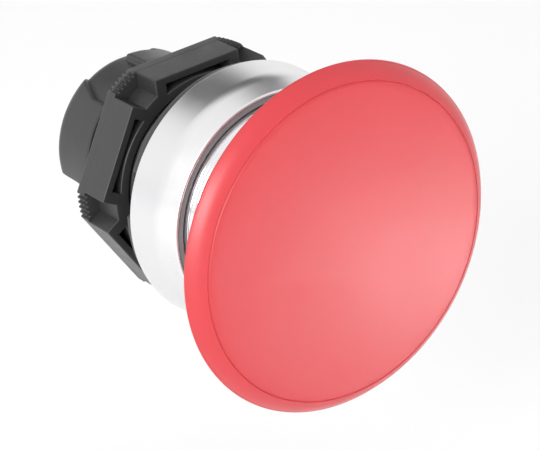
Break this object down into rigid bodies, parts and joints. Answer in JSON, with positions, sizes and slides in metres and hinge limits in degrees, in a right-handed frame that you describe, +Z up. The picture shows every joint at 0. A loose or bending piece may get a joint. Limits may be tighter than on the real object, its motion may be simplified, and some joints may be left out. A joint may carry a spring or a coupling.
{
  "type": "emergency stop button",
  "caption": "Push-pull emergency stop button with a red mushroom cap, chrome bezel, threaded barrel and fixing nut for a round panel cut-out.",
  "frame": {"origin": "where the button's axis meets the panel plane, which is the rear face of the panel seal", "axes": "+Y from the cap through the panel to the rear, along the button's axis; the cap faces -Y; +Z up; +X to the right seen from the front"},
  "size_m": [0.04, 0.044, 0.04],
  "materials": {
    "cap_red": "satin moulded plastic",
    "satin_chrome": "satin chrome plate",
    "bright_chrome": "bright chrome plate",
    "black_plastic": "glass-filled, lightly grained",
    "pale_plastic": "natural moulded plastic",
    "seal_rubber": "matt rubber",
    "steel": "turned, zinc plated",
    "spring_steel": "drawn wire and strip",
    "brass": "turned"
  },
  "bodies": {
    "head": {"housing": "black_plastic", "bezel_ring": "satin_chrome", "panel_seal": "seal_rubber", "wiper_seal": "seal_rubber", "guide_bush": "pale_plastic", "stem_seal": "seal_rubber", "spring_washer": "steel", "return_spring": "spring_steel", "latch_seat": "pale_plastic", "latch_clip": "spring_steel", "latch_cover": "pale_plastic", "retaining_ring": "spring_steel"},
    "cap": {"mushroom_cap": "cap_red", "cap_insert": "brass", "collar_sleeve": "bright_chrome", "lock_washer": "steel", "plunger_stem": "steel", "stem_circlip": "spring_steel", "pusher": "pale_plastic", "pusher_washer": "steel", "pusher_screw": "steel"},
    "nut": {"fixing_nut": "black_plastic"}
  },
  "joints": [
    {"name": "cap_push", "type": "slide", "parent": "head", "child": "cap", "axis": [0, 1, 0], "range_m": [0, 0.0045], "deforming": ["return_spring", "latch_clip"]},
    {"name": "nut_travel", "type": "slide", "parent": "head", "child": "nut", "axis": [0, 1, 0], "range_m": [-0.0037, 0.018]}
  ]
}
